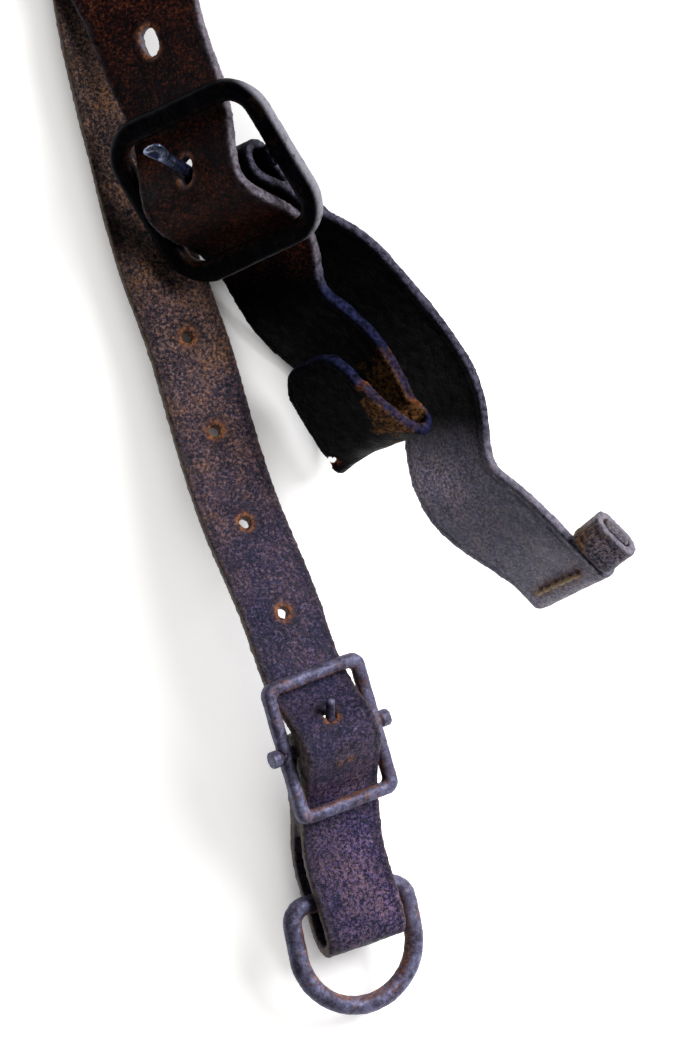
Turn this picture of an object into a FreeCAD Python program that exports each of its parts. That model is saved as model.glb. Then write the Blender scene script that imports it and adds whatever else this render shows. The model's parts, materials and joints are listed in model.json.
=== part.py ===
"""Two buckled harness straps, with a strap chaped to the larger buckle and a D-ring in the lower loop.

Frame: millimetres, origin at the centre of the D-ring's eye, +Y up the straps, +Z off the resting plane.
Buckles and ring are built in a frame of their own (X across the strap, Y up it, Z out of its face)
and are then placed. Each strap is a ribbon of even width and thickness laid along a spatial centreline.
"""
import FreeCAD, Part
import Sketcher
import math
import os

Vector = FreeCAD.Vector

DIMENSIONS = {
    "narrow_width": 22.0,           # 7/8 inch strap
    "narrow_thickness": 3.0,
    "wide_width": 31.0,             # 1 1/4 inch strap
    "wide_thickness": 3.2,
    "curled_width": 31.0,
    "curled_thickness": 2.6,
    "hole_radius": 1.9,
    "hole_pitch": 25.4,
    "oval_hole_width": 4.6,
    "oval_hole_length": 8.0,
    "big_outer_width": 51.0,
    "big_outer_length": 47.5,
    "big_rail": 6.2,
    "big_thick": 4.4,
    "big_corner": 12.5,
    "big_inner_corner": 4.5,
    "big_round": 1.7,
    "big_bar_height": 3.6,
    "big_bar_radius": 3.0,          # half the bar's width, so its edges are full round
    "small_outer_width": 30.0,
    "small_outer_length": 38.0,
    "small_rail": 3.5,
    "small_thick": 4.0,
    "small_corner": 3.4,
    "small_inner_corner": 1.2,
    "small_round": 1.4,
    "small_bar_radius": 1.75,
    "small_bar_overhang": 2.6,      # how far each end stands out of the frame's side
    "pin_radius": 1.5,
    "running_clearance": 0.08,
    "big_tongue_radius": 1.6,
    "big_tongue_reach": 18.5,
    "small_tongue_radius": 1.25,
    "small_tongue_reach": 9.4,
    "ring_wire_radius": 2.5,
    "ring_bend_radius": 16.0,
    "ring_bar_offset": 12.8,
    "ring_corner": 4.5,
    "rivet_radius": 1.5,
    "rivet_head_radius": 4.2,
    "rivet_head_height": 1.3,
    "burr_height": 1.1,
    "thread_radius": 0.55,
    "keeper_wall": 2.4,
    "keeper_band": 9.0,
    "keeper_length": 14.0,
    "keeper_depth": 9.0,
}

REST_PLANE = -8.6                   # height of the surface the straps lie on
BIG_SHAFT_ANGLE = 40.0              # the big tongue's lift out of the frame's plane, degrees
SMALL_SHAFT_ANGLE = 33.0
HOLE_LEAD = 1.5                     # how far ahead of the small tongue its hole is punched, degrees
TURN_STEPS = 8                      # points round a half turn of strap
FACE_STATIONS = 4                   # stations spanned by one face of a strap
LAYER_GAP = 0.25                    # air between two layers of leather
BIG_RAIL_GAP = 2.2                  # air between the big frame's end rails and the strap under them
SMALL_RAIL_GAP = 1.2
WRAP_GAP = 0.1                      # air between the curled strap's inside and the bar's running surface
CHAPE_GAP = 1.2                     # air between the curled strap and the wide strap over it
SLOT_SPARE = 0.8                    # play of a tongue's eye in the slot it turns in
TONGUE_GAP = 0.4                    # air between the wide strap and the big tongue's eye under it
LOOP_GAP = 0.45                     # air between the ring's bar and the loop round it
THREAD_GAP = 0.05                   # air between a stitch and the leather's face
STITCH_SPAN = (0.14, 0.86)          # the part of a stitch's pitch that shows as thread
FREE_HOLES = 4                      # punched holes above the small buckle
WIDE_SHIFT = -2.5                   # the wide strap is pushed to the left-hand side of its buckle
CURL_TURN = 1.7                     # radius of the curled strap's turned end, at mid-thickness
KEEPER_LEAN = 28.0                  # how far the keeper leans back from the strap's own tilt, degrees
KEEPER_CLEARANCE = 1.9              # air between the keeper's band and the strap's edge, along the strap's width
FLAP_CORNER = 11.0                  # radius of the wide strap's rounded end corners
LOOP_SHIFT = 1.0                    # the loop sits this far along the ring's bar from its middle
RIVET_PLACES = (5.0, 13.5)          # distances of the two rivets from the straps' upper ends
LOWER_JOIN = 2.8                    # mid-thickness height of the narrow strap where the two are riveted
UPPER_JOIN = 5.95                   # the same for the wide strap, lying on it

doc = FreeCAD.newDocument("HarnessStraps")
sheet = doc.addObject("Spreadsheet::Sheet", "Sheet")


def fill_sheet():
    """Writes each driving dimension to a cell of its own and gives the cell its name."""
    for row, (alias, value) in enumerate(DIMENSIONS.items(), start=1):
        sheet.set(f"A{row}", alias)
        sheet.set(f"B{row}", str(value))
        sheet.setAlias(f"B{row}", alias)
    doc.recompute()


def size(alias):
    """Reads a driving dimension back from the sheet."""
    return float(sheet.get(alias))


# ---------------------------------------------------------------- frames

def strap_frame(origin, up_azimuth, pitch, tilt):
    """A frame on a strap: Y up the strap, X across it, Z out of its face.

    Pitch raises the upper end and tilt raises the right-hand side, both in degrees."""
    azimuth = math.radians(up_azimuth)
    rise = math.radians(pitch)
    roll = math.radians(tilt)
    up = Vector(math.cos(rise) * math.cos(azimuth), math.cos(rise) * math.sin(azimuth), math.sin(rise))
    level = Vector(math.sin(azimuth), -math.cos(azimuth), 0)
    face = level.cross(up)
    across = level * math.cos(roll) + face * math.sin(roll)
    rotation = FreeCAD.Rotation(across, up, across.cross(up), "XYZ")
    return FreeCAD.Placement(origin, rotation)


def above_rest(x, y, height):
    return Vector(x, y, REST_PLANE + height)


BIG = strap_frame(above_rest(-35.6, 194.9, 28.0), 121, 10, 34)
SMALL = strap_frame(above_rest(-6.7, 52.7, 24.6), 106, 10, -25)
RING = strap_frame(Vector(0, 0, 0), 101, 8, -20)
RING_BAR = RING.multVec(Vector(0, DIMENSIONS["ring_bar_offset"], 0))
LOOP = strap_frame(RING_BAR + RING.Rotation.multVec(Vector(LOOP_SHIFT, 0, 0)), 106, 7, -20)
CURL_END = strap_frame(above_rest(53.0, 92.8, 15.4), 135, 14, 54)
JOIN = strap_frame(above_rest(-77.6, 297, 0), 103, 0, 0)
FIRST_FREE_HOLE = above_rest(-43.6, 155.1, 7.4)
WIDE_FREE_HOLE = above_rest(-51.3, 231, 21)
LOOP_SEAM = SMALL.multVec(Vector(0, -27, -13))


# ---------------------------------------------------------------- ribbons

class Ribbon:
    """A strap of even width and thickness along a smooth centreline.

    Each station is a point on the centreline and the direction of the strap's right-hand edge."""

    def __init__(self, stations, width, thickness):
        self.width = width
        self.thickness = thickness
        points = [point for point, across in stations]
        lengths = [0.0]
        for before, after in zip(points, points[1:]):
            lengths.append(lengths[-1] + before.distanceToPoint(after))
        self.line = Part.BSplineCurve()
        self.line.interpolate(Points=points, Parameters=lengths)
        self.edge = Part.BSplineCurve()
        beside = [point + across * width for point, across in stations]
        self.edge.interpolate(Points=beside, Parameters=lengths)
        self.stops = lengths
        self.end = lengths[-1]

    def frame(self, distance):
        """Centre, direction, right-hand direction and face normal at a distance along the strap."""
        centre = self.line.value(distance)
        along = self.line.getD1(distance)[1].normalize()
        across = self.edge.value(distance) - centre
        across = (across - along * across.dot(along)).normalize()
        return centre, along, across, along.cross(across)

    def corners(self, distance):
        centre, along, across, face = self.frame(distance)
        half_width = across * (self.width / 2)
        half_thick = face * (self.thickness / 2)
        signs = ((-1, -1), (1, -1), (1, 1), (-1, 1))
        return [centre + half_width * side + half_thick * skin for side, skin in signs]

    def solid(self):
        """Faces ruled between the strap's four long edges, a few stations each, and two flat ends."""
        places = []
        for start, stop in zip(self.stops, self.stops[1:]):
            places += [start, (start + stop) / 2]
        places.append(self.stops[-1])
        sections = [self.corners(place) for place in places]
        edges = []
        for corner in range(4):
            curve = Part.BSplineCurve()
            curve.interpolate(Points=[section[corner] for section in sections], Parameters=places)
            edges.append(curve)
        faces = []
        breaks = self.stops[:-FACE_STATIONS:FACE_STATIONS] + [self.end]
        for start, stop in zip(breaks, breaks[1:]):
            runs = [part_of(curve, start, stop) for curve in edges]
            faces += [ruled_face(runs[i], runs[(i + 1) % 4]) for i in range(4)]
        for section in (sections[0], sections[-1]):
            faces.append(Part.Face(Part.makePolygon(section + [section[0]])))
        shell = Part.makeShell(faces)
        shell.sewShape()
        solid = Part.makeSolid(shell)
        if solid.Volume < 0:
            solid.reverse()
        return solid

    def nearest(self, point):
        return self.line.parameter(point)


def part_of(curve, start, stop):
    piece = curve.copy()
    piece.segment(start, stop)
    return piece


def ruled_face(first, second):
    """The surface swept by a straight line between two curves that share their knots."""
    surface = Part.BSplineSurface()
    surface.buildFromPolesMultsKnots(
        [first.getPoles(), second.getPoles()], [2, 2], first.getMultiplicities(), [0, 1],
        first.getKnots(), False, False, 1, first.Degree)
    return surface.toShape()


def laid(x, y, height, across_azimuth, tilt):
    """A station on the resting plane's map: a place, a height and the right-hand edge's direction."""
    azimuth = math.radians(across_azimuth)
    roll = math.radians(tilt)
    across = Vector(math.cos(roll) * math.cos(azimuth), math.cos(roll) * math.sin(azimuth), math.sin(roll))
    return above_rest(x, y, height), across


def held(frame, across, up, out):
    """A station given in a buckle's or a loop's own frame."""
    return frame.multVec(Vector(across, up, out)), frame.Rotation.multVec(Vector(1, 0, 0))


def hump(reach, low, high, up):
    """Height of a strap that dips under both end rails and climbs over the centre bar between them."""
    return low + (high - low) * math.cos(math.pi * up / (2 * reach)) ** 2


def turned(frame, across, up, out, radius, first, last, steps=TURN_STEPS):
    """Stations round an arc of strap, in the frame's side view; angles in degrees from its up axis."""
    stations = []
    for step in range(steps + 1):
        angle = math.radians(first + (last - first) * step / steps)
        place = (across, up + radius * math.cos(angle), out + radius * math.sin(angle))
        stations.append(held(frame, *place))
    return stations


def narrow_ribbon():
    """Down the punched strap, through the small buckle, round the ring's bar and back to the buckle's bar."""
    thick = size("narrow_thickness")
    rail = size("small_outer_length") / 2 - size("small_rail") / 2
    low = -(size("small_thick") / 2 + SMALL_RAIL_GAP + thick / 2)
    wrap = size("small_bar_radius") + size("running_clearance") + thick / 2
    high = wrap + thick + LAYER_GAP
    bend = size("ring_wire_radius") + LOOP_GAP + thick / 2
    stations = [
        laid(-78.4, 298, LOWER_JOIN, 13, 0),
        laid(-77.0, 292, LOWER_JOIN, 13, 0),
        laid(-75.6, 286, LOWER_JOIN, 13, 0),
        laid(-74.2, 280, LOWER_JOIN, 13, 0),
        laid(-72.8, 274, LOWER_JOIN, 13, 0),
        laid(-69.8, 260, 3.2, 13, -7),
        laid(-66.0, 236, 5.6, 13, -20),
        laid(-57.6, 200, 6.0, 14, -22),
        laid(-50.3, 173.3, 6.2, 15, -22),
        laid(-43.6, 155.1, 7.4, 16, -22),
        laid(-36.2, 130, 11.4, 17, -22),
        laid(-28.5, 107.2, 16.6, 19, -22),
        laid(-18.8, 84.0, 21.8, 21, -24),
    ]
    for up in (rail, rail / 2, 0, -rail / 2, -rail):
        stations.append(held(SMALL, 0, up, hump(rail, low, high, up)))
    stations.append(held(LOOP, 0, 12, bend))
    stations.append(held(LOOP, 0, 0, bend))
    stations += turned(LOOP, 0, -8, 0, bend, 90, 270)
    stations.append(held(LOOP, 0, 0, -bend))
    stations.append(held(LOOP, 0, 10, -bend))
    inner = low - thick - LAYER_GAP
    stations.append(held(SMALL, 0, -rail, inner - thick - LAYER_GAP))
    stations.append(held(SMALL, 0, -10, -8.8))
    stations += turned(SMALL, 0, 0, 0, wrap, -82, 134)
    stations.append(held(SMALL, 0, -10, -4.9))
    stations.append(held(SMALL, 0, -rail, inner))
    stations.append(held(SMALL, 0, -27, inner - 1.3))
    return Ribbon(stations, size("narrow_width"), thick)


def wide_ribbon():
    """Down the wide strap, through the big buckle, and along its tail to the flap folded back over it."""
    thick = size("wide_thickness")
    rail = size("big_outer_length") / 2 - size("big_rail") / 2
    low = -(size("big_thick") / 2 + BIG_RAIL_GAP + thick / 2)
    eye = size("big_bar_radius") + size("running_clearance") + 2 * size("big_tongue_radius")
    high = eye + TONGUE_GAP + thick / 2
    stations = [
        laid(-77.4, 298, UPPER_JOIN, 13, 0),
        laid(-76.0, 292, UPPER_JOIN, 13, 0),
        laid(-74.6, 286, UPPER_JOIN, 13, 0),
        laid(-73.2, 280, 5.98, 13, 0),
        laid(-71.4, 274, 6.5, 13, 1),
        laid(-65.0, 259, 11.6, 15, 8),
        laid(-55.6, 241, 17.5, 18, 18),
        laid(-51.6, 229, 20.6, 21, 26),
    ]
    for up in (rail, rail / 2, 0, -rail / 2, -rail):
        stations.append(held(BIG, WIDE_SHIFT, up, hump(rail, low, high, up)))
    stations += [
        laid(-17.0, 163.0, 14.6, 47, 49),
        laid(-3.9, 150.8, 13.6, 46, 50),
        laid(2.6, 139.5, 13.4, 30, 46),
        laid(5.6, 131.5, 13.6, 20, 42),
        laid(6.4, 128.6, 15.6, 19, 42),
        laid(4.6, 128.2, 18.9, 22, 44),
        laid(0.6, 131.2, 20.6, 30, 50),
        laid(-5.6, 138.9, 21.2, 40, 56),
        laid(-12.3, 149.0, 21.6, 42, 56),
    ]
    return Ribbon(stations, size("wide_width"), thick)


def curled_ribbon():
    """From the turned-under end, round the big buckle's bar, and out in waves to the stitched end."""
    thick = size("curled_thickness")
    rail = size("big_outer_length") / 2 - size("big_rail") / 2
    wrap = size("big_bar_radius") + size("running_clearance") + WRAP_GAP + thick / 2
    main = -(size("big_thick") / 2 + BIG_RAIL_GAP + size("wide_thickness") + CHAPE_GAP + thick / 2)
    under = main - thick - LAYER_GAP
    stations = [
        held(BIG, 0, -28, under - 1.2),
        held(BIG, 0, -rail, under),
        held(BIG, 0, -10, -7.0),
    ]
    stations += turned(BIG, 0, 0, 0, wrap, -98, 128)
    stations += [
        held(BIG, 0, -10, -3.6),
        held(BIG, 0, -rail, main),
        laid(-4.2, 173.3, 15.0, 47, 49),
        laid(7.5, 161.0, 14.0, 44, 50),
        laid(16.5, 149.7, 13.4, 36, 50),
        laid(22.6, 137.0, 13.0, 23, 49),
        laid(24.4, 122.6, 13.1, 22, 48),
        laid(29.0, 113.8, 14.6, 35, 48),
        laid(36.6, 107.6, 16.6, 38, 48),
        held(CURL_END, 0, 7, 0),
        held(CURL_END, 0, 0, 0),
    ]
    stations += turned(CURL_END, 0, -2, -CURL_TURN, CURL_TURN, 90, 270, 6)
    stations.append(held(CURL_END, 0, 1, -2 * CURL_TURN))
    stations.append(held(CURL_END, 0, 5.5, -2 * CURL_TURN))
    return Ribbon(stations, size("curled_width"), thick)


# ---------------------------------------------------------------- document helpers

def bind(thing, **cells):
    """Ties properties of a document object to expressions over the sheet."""
    for name, expression in cells.items():
        thing.setExpression(name, expression)
    return thing


def origin_plane(body, role):
    return next(plane for plane in body.Origin.OriginFeatures if plane.Role == role)


def sketch_on(body, role, name):
    sketch = body.newObject("Sketcher::SketchObject", name)
    sketch.AttachmentSupport = [(origin_plane(body, role), "")]
    sketch.MapMode = "FlatFace"
    return sketch


def add_rectangle(sketch, name, width_cell, length_cell):
    """A rectangle centred on the sketch's origin, its two sizes named and tied to the sheet."""
    half_w = 10.0
    half_l = 8.0
    corners = [(-half_w, -half_l), (half_w, -half_l), (half_w, half_l), (-half_w, half_l)]
    first = sketch.GeometryCount
    for i in range(4):
        start = Vector(*corners[i], 0)
        stop = Vector(*corners[(i + 1) % 4], 0)
        sketch.addGeometry(Part.LineSegment(start, stop))
    for i in range(4):
        sketch.addConstraint(Sketcher.Constraint("Coincident", first + i, 2, first + (i + 1) % 4, 1))
    for i in (0, 2):
        sketch.addConstraint(Sketcher.Constraint("Horizontal", first + i))
    for i in (1, 3):
        sketch.addConstraint(Sketcher.Constraint("Vertical", first + i))
    sketch.addConstraint(Sketcher.Constraint("Symmetric", first, 1, first + 2, 1, -1, 1))
    across = sketch.addConstraint(Sketcher.Constraint("Distance", first, 2 * half_w))
    along = sketch.addConstraint(Sketcher.Constraint("Distance", first + 1, 2 * half_l))
    for index, label, cell in ((across, "width", width_cell), (along, "length", length_cell)):
        sketch.renameConstraint(index, f"{name}_{label}")
        sketch.setExpression(f"Constraints.{name}_{label}", cell)


def pad_both_ways(body, sketch, name, cell):
    """Pads a sketch by half of a length to each side of its plane."""
    pad = body.newObject("PartDesign::Pad", name)
    pad.Profile = sketch
    pad.Midplane = True
    bind(pad, Length=cell)
    doc.recompute()
    return pad


def round_edges(body, base, name, chosen, cell):
    """Fillets the edges of base that chosen(edge) picks, to a radius held in the sheet."""
    picked = [f"Edge{i}" for i, edge in enumerate(base.Shape.Edges, start=1) if chosen(edge)]
    fillet = body.newObject("PartDesign::Fillet", name)
    fillet.Base = (base, picked)
    bind(fillet, Radius=cell)
    doc.recompute()
    return fillet


def is_upright(edge):
    return edge.BoundBox.XLength < 0.01 and edge.BoundBox.YLength < 0.01


def cut(label, base, tools, placement):
    """The base less its tools, placed as one sub-part."""
    if len(tools) == 1:
        tool = tools[0]
    else:
        tool = doc.addObject("Part::MultiFuse", label + "_tools")
        tool.Shapes = tools
    result = doc.addObject("Part::Cut", label)
    result.Base = base
    result.Tool = tool
    result.Placement = placement
    return result


def round_bar(name, radius_cell, length_cell, middle, direction):
    """A cylinder tied to the sheet, centred on middle."""
    bar = doc.addObject("Part::Cylinder", name)
    bind(bar, Radius=radius_cell, Height=length_cell)
    doc.recompute()
    turn = FreeCAD.Rotation(Vector(0, 0, 1), direction)
    bar.Placement = FreeCAD.Placement(middle - turn.multVec(Vector(0, 0, bar.Height.Value / 2)), turn)
    return bar


# ---------------------------------------------------------------- buckles and ring

def buckle_frame(label, prefix, placement, pin_cell, pin_length_cell):
    """A padded ring of four rails with round corners and rounded edges, drilled across for its bar."""
    cell = f"Sheet.{prefix}_"
    body = doc.addObject("PartDesign::Body", label + "_body")
    sketch = sketch_on(body, "XY_Plane", label + "_outline")
    add_rectangle(sketch, "outer", f"{cell}outer_width", f"{cell}outer_length")
    inner_width = f"{cell}outer_width - 2 * {cell}rail"
    inner_length = f"{cell}outer_length - 2 * {cell}rail"
    add_rectangle(sketch, "inner", inner_width, inner_length)
    pad = pad_both_ways(body, sketch, label + "_pad", f"{cell}thick")
    half = size(f"{prefix}_outer_width") / 2

    def is_outer(edge):
        return is_upright(edge) and abs(abs(edge.CenterOfMass.x) - half) < 0.01

    def is_inner(edge):
        return is_upright(edge) and abs(edge.CenterOfMass.x) < half - 0.5

    outer = round_edges(body, pad, label + "_corners", is_outer, f"{cell}corner")
    inner = round_edges(body, outer, label + "_inner_corners", is_inner, f"{cell}inner_corner")
    level = size(f"{prefix}_thick") / 2

    def is_rim(edge):
        return edge.BoundBox.ZLength < 0.01 and abs(abs(edge.CenterOfMass.z) - level) < 0.01

    round_edges(body, inner, label + "_rounded", is_rim, f"{cell}round")
    drill = round_bar(label + "_drill", pin_cell, pin_length_cell, Vector(0, 0, 0), Vector(1, 0, 0))
    return cut(label, body, [drill], placement)


def big_buckle_bar():
    """A flat bar with full-round edges, its two round ends let into the side rails."""
    body = doc.addObject("PartDesign::Body", "big_bar_body")
    sketch = sketch_on(body, "XY_Plane", "big_bar_outline")
    window = "Sheet.big_outer_width - 2 * Sheet.big_rail - 0.2"
    add_rectangle(sketch, "bar", window, "2 * Sheet.big_bar_radius")
    pad = pad_both_ways(body, sketch, "big_bar_pad", "Sheet.big_bar_height")

    def is_long(edge):
        return edge.BoundBox.XLength > 5

    round_edges(body, pad, "big_bar_round", is_long, "Sheet.big_bar_height * 0.42")
    ends = "Sheet.big_outer_width - Sheet.big_rail"
    pin = round_bar("big_bar_pin", "Sheet.pin_radius", ends, Vector(0, 0, 0), Vector(1, 0, 0))
    bar = doc.addObject("Part::Fuse", "big_buckle_bar")
    bar.Base = body
    bar.Tool = pin
    bar.Placement = BIG
    return bar


def small_buckle_bar():
    """A round bar through both side rails, its ends peened into small domes outside them."""
    length = "Sheet.small_outer_width + 2 * Sheet.small_bar_overhang - 2"
    rod = round_bar("small_bar_rod", "Sheet.small_bar_radius", length, Vector(0, 0, 0), Vector(1, 0, 0))
    reach = size("small_outer_width") / 2 + size("small_bar_overhang") / 2
    heads = []
    for side in (-1, 1):
        head = round_bar(
            f"small_bar_head_{side + 2}", "Sheet.small_bar_radius * 1.3", "Sheet.small_bar_overhang - 0.1",
            Vector(side * reach, 0, 0), Vector(1, 0, 0))
        heads.append(head)
    bar = doc.addObject("Part::MultiFuse", "small_buckle_bar")
    bar.Shapes = [rod] + heads
    bar.Placement = SMALL
    return bar


def tongue(label, prefix, angle, placement, shift=0.0):
    """A wire tongue: an eye round the bar and a shaft that leaves it along a radius, with a domed tip."""
    wire = f"Sheet.{prefix}_tongue_radius"
    eye_radius = f"Sheet.{prefix}_bar_radius + Sheet.running_clearance + {wire}"
    eye = doc.addObject("Part::Torus", label + "_eye")
    bind(eye, Radius1=eye_radius, Radius2=wire)
    doc.recompute()
    eye.Placement = FreeCAD.Placement(Vector(shift, 0, 0), FreeCAD.Rotation(Vector(0, 0, 1), Vector(1, 0, 0)))
    lift = math.radians(angle)
    direction = Vector(0, math.cos(lift), math.sin(lift))
    shaft = doc.addObject("Part::Cylinder", label + "_shaft")
    bind(shaft, Radius=wire, Height=f"Sheet.{prefix}_tongue_reach - {eye_radius}")
    start = direction * eye.Radius1.Value + Vector(shift, 0, 0)
    shaft.Placement = FreeCAD.Placement(start, FreeCAD.Rotation(Vector(0, 0, 1), direction))
    tip = doc.addObject("Part::Sphere", label + "_tip")
    bind(tip, Radius=wire)
    doc.recompute()
    tip.Placement = FreeCAD.Placement(start + direction * shaft.Height.Value, FreeCAD.Rotation())
    whole = doc.addObject("Part::MultiFuse", label)
    whole.Shapes = [eye, shaft, tip]
    whole.Placement = placement
    return whole


def d_ring():
    """Round wire bent to a D: a straight bar, two short legs and a half circle."""
    bend = size("ring_bend_radius")
    top = size("ring_bar_offset")
    corner = size("ring_corner")
    body = doc.addObject("PartDesign::Body", "d_ring")
    path = sketch_on(body, "XY_Plane", "ring_path")
    left = Vector(-bend, 0, 0)
    right = Vector(bend, 0, 0)
    path.addGeometry(Part.ArcOfCircle(
        Part.Circle(Vector(0, 0, 0), Vector(0, 0, 1), bend), math.pi, 2 * math.pi))
    path.addGeometry(Part.LineSegment(right, Vector(bend, top - corner, 0)))
    path.addGeometry(Part.ArcOfCircle(
        Part.Circle(Vector(bend - corner, top - corner, 0), Vector(0, 0, 1), corner), 0, math.pi / 2))
    path.addGeometry(Part.LineSegment(Vector(bend - corner, top, 0), Vector(corner - bend, top, 0)))
    path.addGeometry(Part.ArcOfCircle(
        Part.Circle(Vector(corner - bend, top - corner, 0), Vector(0, 0, 1), corner), math.pi / 2, math.pi))
    path.addGeometry(Part.LineSegment(Vector(-bend, top - corner, 0), left))
    wire = sketch_on(body, "YZ_Plane", "ring_wire")
    wire.addGeometry(Part.Circle(Vector(-bend, 0, 0), Vector(0, 0, 1), size("ring_wire_radius")))
    wire.addConstraint(Sketcher.Constraint("Radius", 0, size("ring_wire_radius")))
    wire.renameConstraint(0, "wire_radius")
    wire.setExpression("Constraints.wire_radius", "Sheet.ring_wire_radius")
    pipe = body.newObject("PartDesign::AdditivePipe", "ring_pipe")
    pipe.Profile = wire
    pipe.Spine = (path, [])
    body.Placement = RING
    return body


# ---------------------------------------------------------------- leather

def punch(label, ribbon, distance):
    """A round punch through the strap's face at a distance along it."""
    centre, along, across, face = ribbon.frame(distance)
    return round_bar(label, "Sheet.hole_radius", "4 * Sheet.wide_thickness", centre, face)


def oval_punch(label, ribbon, distance):
    """An oval punch, longer along the strap than across it."""
    centre, along, across, face = ribbon.frame(distance)
    tool = doc.addObject("Part::Box", label)
    bind(tool, Length="Sheet.oval_hole_width", Width="Sheet.oval_hole_length",
         Height="4 * Sheet.wide_thickness")
    doc.recompute()
    turn = FreeCAD.Rotation(across, along, across.cross(along), "XYZ")
    corner = Vector(tool.Length.Value / 2, tool.Width.Value / 2, tool.Height.Value / 2)
    tool.Placement = FreeCAD.Placement(centre - turn.multVec(corner), turn)
    oval = doc.addObject("Part::Fillet", label + "_ends")
    oval.Base = tool
    radius = size("oval_hole_width") / 2 - 0.01
    uprights = [i for i, edge in enumerate(tool.Shape.Edges, start=1)
                if abs(edge.Length - tool.Height.Value) < 0.01]
    oval.Edges = [(i, radius, radius) for i in uprights]
    return oval


def end_corner(label, ribbon, side):
    """What is trimmed off one corner of a strap's far end to round it."""
    centre, along, across, face = ribbon.frame(ribbon.end)
    spare = 1.0
    block = doc.addObject("Part::Box", label + "_block")
    block.Length = FLAP_CORNER + spare
    block.Width = FLAP_CORNER + spare
    block.Height = 3 * ribbon.thickness
    outward = across * side
    turn = FreeCAD.Rotation(outward, along, outward.cross(along), "XYZ")
    hub = centre + outward * (ribbon.width / 2 - FLAP_CORNER) - along * FLAP_CORNER
    foot = hub - turn.multVec(Vector(0, 0, block.Height.Value / 2))
    block.Placement = FreeCAD.Placement(foot, turn)
    disc = round_bar(label + "_disc", str(FLAP_CORNER), "6 * Sheet.wide_thickness", hub, face)
    corner = doc.addObject("Part::Cut", label)
    corner.Base = block
    corner.Tool = disc
    return corner


def bar_slot(label, frame, width, reach, shift=0.0):
    """The slot that a tongue's eye turns in, cut in the leather wrapped round a bar."""
    slot = doc.addObject("Part::Box", label)
    slot.Length = width
    slot.Width = 2 * reach
    slot.Height = 2 * reach
    corner = Vector(shift - width / 2, -reach, -reach)
    slot.Placement = frame.multiply(FreeCAD.Placement(corner, FreeCAD.Rotation()))
    return slot


def leather(label, ribbon):
    """The bare strap, before any hole is punched."""
    strap = doc.addObject("Part::Feature", label + "_blank")
    strap.Shape = ribbon.solid()
    return strap


def crossing(ribbon, frame, angle, near):
    """Distance along a ribbon at which a tongue's shaft passes through it.

    The shaft leaves the bar at the given angle above the frame's plane."""
    middle = ribbon.nearest(frame.multVec(near))
    back = frame.inverse()
    best = None
    for step in range(-60, 61):
        place = middle + step * 0.1
        local = back.multVec(ribbon.line.value(place))
        miss = abs(math.degrees(math.atan2(local.z, local.y)) - angle)
        if best is None or miss < best[0]:
            best = (miss, place)
    return best[1]


def narrow_strap(ribbon):
    blank = leather("narrow_strap", ribbon)
    first_free = ribbon.nearest(FIRST_FREE_HOLE)
    places = [first_free + size("hole_pitch") * i for i in range(FREE_HOLES)]
    tools = [punch(f"free_hole_{i + 1}", ribbon, place) for i, place in enumerate(places)]
    tongue_place = crossing(ribbon, SMALL, SMALL_SHAFT_ANGLE - HOLE_LEAD, Vector(0, 6, 4))
    tools.append(punch("tongue_hole", ribbon, tongue_place))
    for i, place in enumerate(RIVET_PLACES):
        tools.append(rivet_hole(f"narrow_rivet_hole_{i + 1}", place))
    reach = size("small_bar_radius") + size("narrow_thickness") + 0.8
    tools.append(bar_slot("narrow_slot", SMALL, 2 * size("small_tongue_radius") + SLOT_SPARE, reach))
    return cut("narrow_strap", blank, tools, FreeCAD.Placement())


def wide_strap(ribbon):
    blank = leather("wide_strap", ribbon)
    free_place = ribbon.nearest(WIDE_FREE_HOLE)
    tongue_place = crossing(ribbon, BIG, BIG_SHAFT_ANGLE, Vector(WIDE_SHIFT, 6.5, 5.4))
    tools = [oval_punch("wide_free_hole", ribbon, free_place)]
    tools.append(oval_punch("wide_tongue_hole", ribbon, tongue_place))
    for i, place in enumerate(RIVET_PLACES):
        tools.append(rivet_hole(f"wide_rivet_hole_{i + 1}", place))
    tools += [end_corner("flap_left_corner", ribbon, -1), end_corner("flap_right_corner", ribbon, 1)]
    return cut("wide_strap", blank, tools, FreeCAD.Placement())


def curled_strap(ribbon):
    blank = leather("curled_strap", ribbon)
    reach = size("big_bar_radius") + 2 * size("big_tongue_radius") + 1.0
    slot = bar_slot("curled_slot", BIG, 2 * size("big_tongue_radius") + SLOT_SPARE, reach, WIDE_SHIFT)
    return cut("curled_strap", blank, [slot], FreeCAD.Placement())


def rivet_hole(label, place):
    middle = JOIN.multVec(Vector(0, -place, (LOWER_JOIN + UPPER_JOIN) / 2))
    return round_bar(label, "Sheet.rivet_radius + 0.05", "9 * Sheet.wide_thickness", middle, Vector(0, 0, 1))


def rivets():
    """Two rivets with low coned heads on the upper strap."""
    parts = []
    top = UPPER_JOIN + size("wide_thickness") / 2 + 0.05
    bottom = LOWER_JOIN - size("narrow_thickness") / 2 - size("burr_height")
    for i, place in enumerate(RIVET_PLACES):
        foot = JOIN.multVec(Vector(0, -place, bottom))
        shank = doc.addObject("Part::Cylinder", f"rivet_shank_{i + 1}")
        bind(shank, Radius="Sheet.rivet_radius")
        shank.Height = top - bottom + size("rivet_head_height") / 2
        shank.Placement.Base = foot
        head = doc.addObject("Part::Cone", f"rivet_head_{i + 1}")
        bind(head, Radius1="Sheet.rivet_head_radius", Radius2="Sheet.rivet_head_radius * 0.55",
             Height="Sheet.rivet_head_height")
        head.Placement.Base = JOIN.multVec(Vector(0, -place, top))
        rivet = doc.addObject("Part::Fuse", f"rivet_{i + 1}")
        rivet.Base = shank
        rivet.Tool = head
        parts.append(rivet)
    return group("join_rivets", parts)


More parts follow.
